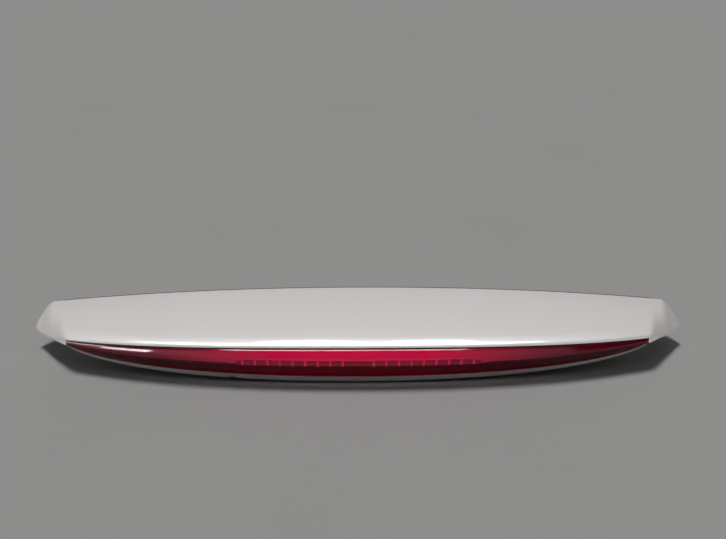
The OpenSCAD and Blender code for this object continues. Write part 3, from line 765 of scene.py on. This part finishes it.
def finish_of(name, colour, roughness, drift=0.06, drift_scale=12.0, rough_change=0.1, grain=900.0,
              grain_colour=0.03, bump=0.0001, **shader):
    """A material of one Principled shader over the surface group, with its constants on it."""
    material = bpy.data.materials.new(name)
    material.use_nodes = True
    tree = material.node_tree
    principled = tree.nodes["Principled BSDF"]
    surface = tree.nodes.new("ShaderNodeGroup")
    surface.node_tree = SURFACE
    given = {"Colour": (*colour, 1), "Drift": drift, "Drift scale": drift_scale,
             "Roughness": roughness, "Roughness change": rough_change, "Grain scale": grain,
             "Grain in colour": grain_colour}
    for socket, value in given.items():
        surface.inputs[socket].default_value = value
    relief = add_node(tree, "Bump", {"Height": surface.outputs["Height"], "Distance": bump,
                                     "Strength": 1.0})
    tree.links.new(surface.outputs["Colour"], principled.inputs["Base Color"])
    tree.links.new(surface.outputs["Roughness"], principled.inputs["Roughness"])
    tree.links.new(relief.outputs["Normal"], principled.inputs["Normal"])
    for key, value in shader.items():
        socket = key.replace("_", " ").title().replace("Ior", "IOR")
        principled.inputs[socket].default_value = value
    return material


DULL_SHARE = 0.15


def let_light_through(material, tint):
    """Lets lamps shine through the plastic, which throws little colour on what lies round it."""
    tree = material.node_tree
    shown, output = tree.nodes["Principled BSDF"], tree.nodes["Material Output"]
    path = add_node(tree, "LightPath")
    clear = add_node(tree, "BsdfTransparent", {"Color": (*tint, 1)})
    dull = add_node(tree, "BsdfDiffuse", {"Color": (*(DULL_SHARE * part for part in tint), 1)})
    for way, shader in (("Is Diffuse Ray", dull), ("Is Shadow Ray", clear)):
        blend = add_node(tree, "MixShader")
        tree.links.new(path.outputs[way], blend.inputs[0])
        tree.links.new(shown.outputs[0], blend.inputs[1])
        tree.links.new(shader.outputs[0], blend.inputs[2])
        shown = blend
    tree.links.new(shown.outputs[0], output.inputs["Surface"])
    return material


white_gloss = finish_of("white gloss paint", (0.70, 0.668, 0.66), 0.35, drift=0.03, drift_scale=4.0,
                        rough_change=0.06, grain=700.0, grain_colour=0.015, bump=0.00002,
                        coat_weight=1.0, coat_roughness=0.04)
ACRYLIC_IOR = 1.49
LENS_FEEL = dict(drift=0.08, drift_scale=9.0, rough_change=0.02, grain=60.0, grain_colour=0.02,
                 bump=0.00002, transmission_weight=1.0, ior=ACRYLIC_IOR)
red_lens = let_light_through(
    finish_of("red acrylic lens", (0.78, 0.035, 0.19), 0.03, **LENS_FEEL), (1.0, 0.05, 0.62))
# Painted shade and reflection: the lens's lower face, which faces the floor, takes a darker copy of
# the red and dark red-tinted reflections, standing in for the shade it lies in.
red_lower_painted_shade = let_light_through(
    finish_of("lower face of the lens with painted shade", (0.55, 0.02, 0.11), 0.03,
              specular_tint=(0.3, 0.12, 0.14, 1), **LENS_FEEL), (0.85, 0.05, 0.2))
red_frosted = let_light_through(
    finish_of("frosted strip of the lens", (0.63, 0.009, 0.070), 0.06, drift=0.12, drift_scale=14.0,
              rough_change=0.03, grain=260.0, grain_colour=0.08, bump=0.00002,
              transmission_weight=0.35, ior=ACRYLIC_IOR), (0.6, 0.02, 0.1))
housing_black = finish_of("dark grey housing plastic", (0.035, 0.035, 0.038), 0.5, bump=0.00008)
mirror_metal = finish_of("mirror coating", (0.85, 0.85, 0.87), 0.38, drift=0.05, rough_change=0.08,
                         grain=400.0, bump=0.00002, metallic=1.0)
clear_optic = let_light_through(
    finish_of("frosted clear acrylic", (0.72, 0.68, 0.70), 0.3, grain=500.0, bump=0.00004,
              transmission_weight=0.3, ior=ACRYLIC_IOR), (0.5, 0.5, 0.5))
# Painted highlight and glow: the middle of each optic rib is near white and glows faintly, standing
# in for the glints the ribs catch from the light; the diodes are unlit.
rib_painted_glint_and_glow = finish_of("optic rib with painted glint and glow", (0.97, 0.96, 0.97), 0.2, grain=500.0, bump=0.00003,
                      emission_color=(1.0, 0.75, 0.95, 1), emission_strength=0.22)
board_green = finish_of("green board laminate", (0.02, 0.12, 0.05), 0.35, drift=0.15,
                        drift_scale=60.0)
dark_plastic = finish_of("black connector plastic", (0.015, 0.015, 0.016), 0.45, bump=0.00006)
contact_metal = finish_of("tinned contact metal", (0.62, 0.52, 0.30), 0.28, metallic=1.0)
diode_yellow = finish_of("diode phosphor", (0.80, 0.55, 0.10), 0.3, drift=0.1, drift_scale=300.0)
foam_black = finish_of("closed cell foam", (0.02, 0.02, 0.021), 0.85, drift=0.2, drift_scale=120.0,
                       grain=1500.0, grain_colour=0.5, bump=0.0003)
# Painted shade: the lens's two rims are near black, darkening the joints at the skin and the lip
# and hiding the light the rims would carry.
rim_painted_dark = finish_of("lens rim painted dark as shade", (0.03, 0.004, 0.006), 0.45, bump=0.00005)
rubber_black = finish_of("soft black rubber", (0.018, 0.018, 0.018), 0.6, grain=1200.0, bump=0.0001)
nylon_ivory = finish_of("natural nylon", (0.60, 0.57, 0.48), 0.42, drift=0.08, drift_scale=40.0,
                        bump=0.00005)
zinc_bright = finish_of("zinc plated steel", (0.60, 0.60, 0.58), 0.3, drift=0.12, drift_scale=150.0,
                        rough_change=0.25, grain=900.0, grain_colour=0.1, metallic=1.0)


# Pieces

def place_piece(piece, material, slot, *nodes):
    piece.data.materials.clear()
    piece.data.materials.append(material)
    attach(piece, "root")
    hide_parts(*nodes)
    return piece


def shares_of_half(*shares):
    return [HALF * f for f in shares]


# Screws between the skins and the bosses that they go into
SKIN_SCREW_Y = 0.08 * CHORD
SKIN_SCREW_XS = shares_of_half(-0.44, -0.1, 0.1, 0.44)
SCREW_R, SCREW_CLEAR, SCREW_BORE_L, BORE_START = 2, 0.3, 16, 1.3
BOSS_R, BOSS_INTO_SKIN = 5, 0.9

# Ears of the housing and the posts under them
EAR_XS = shares_of_half(-0.555, -0.336, -0.118, 0.118, 0.336, 0.555)
EAR_T, EAR_W, EAR_D, EAR_OUT, EAR_LIFT, EAR_INTO = 2.5, 14, 12, 6.5, 13, 0.8
POST_R, LAMP_SCREW_L = 4, 12

# Stud pads and plates, ribs, clips, end pads and the wiring opening
PAD_R, PAD_STEP, COLLAR_WALL = 11, 1, 0.4
PLATE_W, PLATE_D, PLATE_Z, PLATE_RISE, PLATE_RIM = 30, 54, 7, 2, 2
STUD_HOLE_R, STUD_HOLE_Z = STUD_R + COLLAR_WALL + STUD_CLEAR, (-6, 16)
STUDS = [(sx * STUD_X, sy * STUD_Y) for sx in (-1, 1) for sy in (-1, 1)]
RIB_XS = [side * x for side in (-1, 1)
          for x in shares_of_half(0.067, 0.202, 0.303, 0.395, 0.487, 0.622)]
RIB_T, RIB_H, RIB_D = 2, 12, 0.36 * CHORD
CLIP_XS, CLIP_Y, CLIP_R = shares_of_half(-0.353, -0.151, 0.151, 0.353), 0.11 * CHORD, 3
OPENING_W, OPENING_Y = 40, (-0.29 * CHORD, -0.13 * CHORD)
END_PAD_X, END_PAD_Y, STEM_R = HALF - 50, 0.12 * CHORD, 3
HOLE_BELOW, HOLE_ABOVE, INTO_FLOOR = 5, 8, 1

# Locating pins
PIN_BASE_R, PIN_BASE_T, PIN_POINT, PIN_SINK = PIN_R + 4, 2.2, 2, 0.6
PIN_BASE_TOP = PIN_L + PIN_BASE_T
PIN_LOW = floor_z(PIN_X + PIN_BASE_R, -PIN_BASE_R) - PIN_SINK - PIN_L
PIN_OUTLINE = [(AXIS_R, 0), (0.5 * PIN_R, 0), (0.62 * PIN_R, 0.2), (0.97 * PIN_R, PIN_POINT - 0.2),
               (PIN_R, PIN_POINT + 0.3), (PIN_R, PIN_L), (PIN_BASE_R, PIN_L),
               (PIN_BASE_R, PIN_BASE_TOP), (AXIS_R, PIN_BASE_TOP)]

NOTCH_REACH, NOTCH_SIDES = (-2, 13), 96


def make_top_skin():
    skin = loft(SKIN_STATIONS, skin_path, lambda x: skin_path(x, skin_wall_at(x)))
    for x in SKIN_SCREW_XS:
        low = land_top(x, SKIN_SCREW_Y) + SEAT_GAP
        high = top_z(x, SKIN_SCREW_Y) - SKIN_WALL + BOSS_INTO_SKIN
        bore = low + SCREW_BORE_L - BORE_START
        skin.turned([(SCREW_R, low), (BOSS_R, low), (BOSS_R, high), (AXIS_R, high), (AXIS_R, bore),
                     (SCREW_R, bore)], (x, SKIN_SCREW_Y, 0))
    return place_piece(as_object("top_skin", skin), white_gloss, "skin_paint", "upper_skin")


def ear_y(x):
    return housing_back(x) + EAR_OUT


def ear_z(x):
    return lens_foot(x)[1] + EAR_LIFT


def notch_tool():
    """A lying cylinder that cuts the shallow drain notch into the lip."""
    r = (NOTCH_W**2 / 4 + NOTCH_H**2) / (2 * NOTCH_H)
    y, z = lip_low(NOTCH_X)
    n = NOTCH_SIDES
    angles = [2 * math.pi * k / n for k in range(n)]
    ring = [(-NOTCH_X + r * math.sin(a), z + NOTCH_H - r + r * math.cos(a)) for a in angles]
    points = [(px, y + reach, pz) for reach in NOTCH_REACH for px, pz in ring]
    faces = [(k, (k + 1) % n, n + (k + 1) % n, n + k) for k in range(n)]
    return points, faces + [tuple(range(n)), tuple(range(2 * n - 1, n - 1, -1))]


def plate_seat(side):
    """The raised rectangle under a stud plate, with a round hole for each stud."""
    rx, ry, n = PLATE_W / 2 + PLATE_RIM, PLATE_D / 2 + PLATE_RIM, ROUND_SIDES
    angles = [2 * math.pi * (k + 0.5) / n for k in range(n)]
    ways = [(math.cos(a), math.sin(a)) for a in angles]
    points, faces = [], []
    for sy in (-1, 1):
        x, y = side * STUD_X, sy * STUD_Y
        hole0 = len(points)
        rim0, hole1, rim1 = hole0 + n, hole0 + 2 * n, hole0 + 3 * n
        for z in (PLATE_Z - PLATE_RISE - INTO_FLOOR, PLATE_Z):
            points += [(x + STUD_HOLE_R * c, y + STUD_HOLE_R * s, z) for c, s in ways]
            for c, s in ways:
                reach_y = (ry - STUD_Y) if s * sy > 0 else STUD_Y
                f = min(rx / max(abs(c), 1e-6), reach_y / max(abs(s), 1e-6))
                points.append((x + f * c, y + f * s, z))
        for k in range(n):
            j = (k + 1) % n
            faces += [(hole0 + k, hole0 + j, rim0 + j, rim0 + k),
                      (hole1 + k, rim1 + k, rim1 + j, hole1 + j),
                      (rim0 + k, rim0 + j, rim1 + j, rim1 + k),
                      (hole0 + k, hole1 + k, hole1 + j, hole0 + j)]
    return points, faces


def lower_skin_tools():
    """Everything that is cut out of the lower skin."""
    tools = Solid()
    for x, y in STUDS:
        tools.turned(disc(STUD_HOLE_R, *STUD_HOLE_Z), (x, y, 0))
    for xs, y, r in ((SKIN_SCREW_XS, SKIN_SCREW_Y, SCREW_R + SCREW_CLEAR),
                     (CLIP_XS, CLIP_Y, CLIP_R + SCREW_CLEAR),
                     ((-END_PAD_X, END_PAD_X), END_PAD_Y, STEM_R + SEAT_GAP)):
        for x in xs:
            z = floor_z(x, y)
            tools.turned(disc(r, z - HOLE_BELOW, z + HOLE_ABOVE), (x, y, 0))
    z = land_at(0)
    tools.block((-OPENING_W / 2, OPENING_Y[0], z - HOLE_BELOW),
                (OPENING_W / 2, OPENING_Y[1], z + HOLE_ABOVE))
    return tools.add(*notch_tool())


def lower_skin_mouldings():
    """Stud pads, ribs, lamp posts, locating pins and plate seats of the lower skin."""
    extra = Solid()
    for x, y in STUDS:
        extra.turned(disc(PAD_R, 0, PLATE_Z - PAD_STEP, STUD_HOLE_R), (x, y, 0))
    for x in RIB_XS:
        z = floor_z(x, 0) + INTO_FLOOR
        extra.block((x - RIB_T / 2, -RIB_D / 2, z), (x + RIB_T / 2, RIB_D / 2, z + RIB_H))
    for x in EAR_XS:
        low, high = floor_z(x, ear_y(x)) + INTO_FLOOR, ear_z(x)
        bore = high - LAMP_SCREW_L
        extra.turned([(AXIS_R, low), (POST_R, low), (POST_R, high), (SCREW_R, high),
                      (SCREW_R, bore), (AXIS_R, bore)], (x, ear_y(x), 0))
    for x in (-PIN_X, PIN_X):
        extra.turned(PIN_OUTLINE, (x, 0, PIN_LOW))
    for side in (-1, 1):
        extra.add(*plate_seat(side))
    return extra


def make_lower_skin():
    shell = loft(FLOOR_STATIONS, floor_path, lambda x: floor_path(x, FLOOR_WALL))
    skin = carved(as_object("lower_shell", shell), lower_skin_tools())
    mouldings = as_object("lower_mouldings", lower_skin_mouldings())
    place_piece(joined("bottom_skin", skin, mouldings), white_gloss, "skin_paint", "lower_skin")


# Places of the lens's finishes after the first, and how near a face lies to a rim that it is in
FROSTED_FINISH, SHADED_LOWER_FINISH, RIM_FINISH = 1, 2, 3
RIM_NEAR = 0.12


def is_rim(x, y, z):
    """True for the two narrow rims of the lens, which are welded to the housing and are painted
    near black as shade.
    """
    wall = lens_wall_at(x)
    outer = lens_corners(x)
    inner = inset(outer, wall)
    return any(math.dist((y, z), (outer[end] + inner[end]) / 2) < RIM_NEAR * wall
               for end in (0, -1))


def make_lens():
    lens = loft(LENS_STATIONS, lens_path, lambda x: lens_path(x, lens_wall_at(x)))
    shell = place_piece(as_object("lens_shell", lens), red_lens, "lens_red", "lamp_lens")
    for material in (red_frosted, red_lower_painted_shade, rim_painted_dark):
        shell.data.materials.append(material)
    for face in shell.data.polygons:
        x, y, z = face.center / MM
        if is_rim(x, y, z):
            face.material_index = RIM_FINISH
        # Faces below the crease take the darker copy of the red, which is painted shade.
        elif z < lens_crease(x)[1]:
            face.material_index = SHADED_LOWER_FINISH
        elif is_frosted(x, z):
            face.material_index = FROSTED_FINISH
    return shell


# Lengths of the pieces behind the lens, as shares of its length
HOUSING_SPAN, MIRROR_SPAN, GASKET_SPAN = 0.992, 0.9, 0.95


def spanned(share):
    return [share * x for x in LENS_STATIONS]


def make_housing():
    housing = loft(spanned(HOUSING_SPAN), housing_path,
                   lambda x: housing_path(x, housing_wall_at(x)))
    for x in EAR_XS:
        y = housing_back(x) - EAR_INTO
        housing.block((x - EAR_W / 2, y, ear_z(x)), (x + EAR_W / 2, y + EAR_D, ear_z(x) + EAR_T))
    return place_piece(as_object("lamp_channel", housing), housing_black, "housing_plastic",
                       "lamp_housing")


def make_mirror():
    mirror = loft(spanned(MIRROR_SPAN), mirror_path, lambda x: mirror_path(x, mirror_wall_at(x)))
    return place_piece(as_object("mirror_strip", mirror), mirror_metal, "mirror_coat",
                       "lamp_reflector")


def make_optic():
    across_ribs = {led + RIB_W * i / 4 for led in LED_XS for i in range(-4, 5)}
    stations = sorted({0.0, BOX_HALF, -BOX_HALF} | across_ribs)
    optic = loft(stations, optic_path, optic_inside)
    channel = place_piece(as_object("light_channel", optic), clear_optic, "clear_optic",
                          "inner_optic")
    channel.data.materials.append(rib_painted_glint_and_glow)
    for face in channel.data.polygons:
        # The middle half of each rib takes the near-white finish with its painted glint and glow.
        face.material_index = int(rib_at(face.center.x / MM) > 0.5 * RIB_OUT)
    return channel


SEAL_DROP, SEAL_T, SEAL_INSET = 2, 2.2, 20
SEAL_PATH = ((0, 0), (0.2, -5), (-0.3, -10))


def gasket_low(x):
    return [q + point(0, SEAT_GAP) for q in gasket_corners(x)]


def gasket_high(x):
    return [point(q[0], edge_low(x)[1] - SEAT_GAP) for q in gasket_corners(x)]


def seal_path(x, wall=0):
    y, z = front_y(x) + SEAT_GAP, top_z(x, front_y(x)) - SEAL_DROP
    path = [point(y + out, z + up) for out, up in SEAL_PATH]
    return inset(path, wall) if wall else path


def make_seals():
    gasket = loft(spanned(GASKET_SPAN), gasket_low, gasket_high)
    place_piece(as_object("lamp_seal", gasket), foam_black, "seal_foam", "lamp_gasket")
    stations = [x for x in SKIN_STATIONS if abs(x) < CORNER_X - SEAL_INSET]
    strip = loft(stations, seal_path, lambda x: seal_path(x, SEAL_T))
    place_piece(as_object("leading_seal", strip), rubber_black, "seal_rubber", "front_seal")


top_skin = make_top_skin()
make_lower_skin()
lamp_pieces = [make_lens(), make_housing(), make_mirror(), make_optic()]
make_seals()

CARRIED_OVER = {
    board_green: ["led_board"],
    dark_plastic: ["board_resistors", "lamp_connector"],
    contact_metal: ["connector_pins"],
    diode_yellow: [f"led_{i:02d}" for i in range(1, 2 * LED_SIDE + 1)],
    foam_black: ["pad_seals", "shelf_foam"],
    rubber_black: ["left_end_pad", "right_end_pad"],
    nylon_ivory: ["push_clips"],
    zinc_bright: ["lamp_screws", "skin_screws", "left_stud_plate", "right_stud_plate"],
}
for material, nodes in CARRIED_OVER.items():
    for node in nodes:
        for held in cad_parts[node].material_slots:
            held.material = material


# Floor and light

FLOOR_Z, FLOOR_SIZE = -32.0, 20000
bench_grey = finish_of("pale bench", (0.37, 0.365, 0.36), 0.8, drift=0.06, drift_scale=3.0,
                       grain=300.0, bump=0.00003, specular_ior_level=0.0)

# The sky grows lighter between two heights above its dark side, and is plain where it is seen
LIGHT_SIDE = (-0.1, 0.76, 0.64)
SKY_STOPS = ((0.55, 0.008), (0.97, 0.3))
SKY_SEEN = 0.3

KEY_PLACE, KEY_POWER, KEY_ANGLE = (-350, 760, 1900), 2.0, 11

# Panels on the ceiling: name, reach across, reach along, brightness, shape
CEILING_Z = 1500
CEILING_PANELS = (
    ("left ceiling panel", (-560, 20), (-330, 170), 11, "ELLIPSE"),
    ("right ceiling panel", (120, 640), (-330, 170), 11, "ELLIPSE"),
    ("ceiling strip", (-1400, 1090), (-2900, -190), 12, "RECTANGLE"),
)

# Panels at the sides, which show in gloss alone: name, place, target, size, power
SIDE_PANELS = (
    ("side window", (-1700, -1590, 400), (-400, -100, 20), (440, 190), 5),
    ("far left wall", (-2300, -1720, 300), (-430, -70, 15), (1300, 800), 3.2),
    ("window edge", (-1969, -1188, 560), (-430, -70, 20), (560, 60), 2.2),
)

# Walls in front, each of a few panels that lie over one another and fade outwards: name, first
# place, shift of the next, target, width, loss of width, power, loss of power
WALL_PANELS, WALL_H = 4, 900
FRONT_WALLS = (
    ("left wall", (-1542, -2770, 432), -130, (-240, -100, 15), 1300, 260, 0.54, 0.2),
    ("right wall", (1480, -2833, 432), 140, (225, -100, 15), 1600, 280, 0.46, 0.175),
)

# Lamps that light only some pieces
FRONT_WASH = ("front wash", (-130, -2400, 350), (0, 0, 20), (900, 400), 35)
LAMP_FILL = ("lamp fill", (-600, -1000, 1050), (-300, -100, 10), (700, 300), 0.6)
LAMP_SPOT = ("lamp spot", "SPOT", (-10, -700, 900), (-10, -105, 15), 47)
SPOT_ANGLE, SPOT_BLEND, SPOT_SOFTNESS = 36, 1.0, 0.1


def make_floor():
    s = FLOOR_SIZE
    corners = [(-s, -s, FLOOR_Z), (s, -s, FLOOR_Z), (s, s, FLOOR_Z), (-s, s, FLOOR_Z)]
    floor = as_object("floor", Solid().add(corners, [(0, 1, 2, 3)]))
    floor.data.materials.append(bench_grey)


def make_sky():
    """Soft light, brightest from above and behind the spoiler and dim from in front."""
    world = bpy.data.worlds.new("studio")
    bpy.context.scene.world = world
    world.use_nodes = True
    tree = world.node_tree
    back = tree.nodes["Background"]
    way = add_node(tree, "TexCoord").outputs["Generated"]
    height = add_node(tree, "VectorMath", {0: way, 1: LIGHT_SIDE}, operation="DOT_PRODUCT")
    share = add_node(tree, "MapRange", {"Value": height.outputs["Value"], "From Min": -1.0,
                                        "From Max": 1.0}).outputs["Result"]
    ramp = add_node(tree, "ValToRGB", {"Fac": share})
    for stop, (position, grey) in zip(ramp.color_ramp.elements, SKY_STOPS):
        stop.position, stop.color = position, (grey, grey, grey, 1)
    seen = add_node(tree, "LightPath").outputs["Is Camera Ray"]
    shown = add_node(tree, "Mix", data_type="RGBA")
    shown.inputs["B"].default_value = (SKY_SEEN, SKY_SEEN, SKY_SEEN, 1)
    tree.links.new(seen, shown.inputs["Factor"])
    tree.links.new(ramp.outputs["Color"], shown.inputs["A"])
    tree.links.new(shown.outputs["Result"], back.inputs["Color"])
    back.inputs["Strength"].default_value = 1.0


def add_lamp(name, kind, place, target, power):
    """A lamp, with its place in millimetres and its power in watts."""
    lamp = bpy.data.objects.new(name, bpy.data.lights.new(name, kind))
    lamp.data.energy = power
    lamp.location = Vector(place) * MM
    lamp.rotation_euler = (Vector(target) - Vector(place)).to_track_quat("-Z", "Y").to_euler()
    lamp.visible_camera = False
    bpy.context.scene.collection.objects.link(lamp)
    return lamp


def add_panel(name, place, target, size, power, shape="RECTANGLE"):
    lamp = add_lamp(name, "AREA", place, target, power)
    lamp.data.shape = shape
    lamp.data.size, lamp.data.size_y = size[0] * MM, size[1] * MM
    return lamp


def add_ceiling(name, x, y, brightness, shape):
    """A panel that shows in gloss alone, between two places across and two along the ceiling."""
    size = (x[1] - x[0], y[1] - y[0])
    place = ((x[0] + x[1]) / 2, (y[0] + y[1]) / 2, CEILING_Z)
    area = size[0] * size[1] * MM**2
    panel = add_panel(name, place, (place[0], place[1] + 0.01, 0), size,
                      brightness * math.pi * area, shape)
    panel.visible_diffuse = False


def light_only(lamp, pieces):
    """The lamp lights these pieces and no others."""
    receivers = bpy.data.collections.new("lit by " + lamp.name)
    for piece in pieces:
        receivers.objects.link(piece)
    lamp.light_linking.receiver_collection = receivers


def make_lights():
    key = add_lamp("key light", "SUN", KEY_PLACE, (0, 0, 0), KEY_POWER)
    key.data.angle = math.radians(KEY_ANGLE)
    key.visible_glossy = False
    for row in CEILING_PANELS:
        add_ceiling(*row)
    sides = [add_panel(*row) for row in SIDE_PANELS]
    for i in range(WALL_PANELS):
        for name, (x, y, z), shift, target, width, narrower, power, weaker in FRONT_WALLS:
            sides.append(add_panel(f"{name} {i}", (x + shift * i, y, z), target,
                                   (width - narrower * i, WALL_H), power * (1 - weaker * i)))
    wash = add_panel(*FRONT_WASH)
    wash.visible_glossy = False
    light_only(wash, [top_skin])
    for panel in sides:
        panel.visible_diffuse = False
    fill, spot = add_panel(*LAMP_FILL), add_lamp(*LAMP_SPOT)
    spot.data.spot_size, spot.data.spot_blend = math.radians(SPOT_ANGLE), SPOT_BLEND
    spot.data.shadow_soft_size = SPOT_SOFTNESS
    for lamp in (fill, spot):
        light_only(lamp, lamp_pieces)


bpy.context.scene.view_settings.view_transform = "Standard"
make_floor()
make_sky()
make_lights()
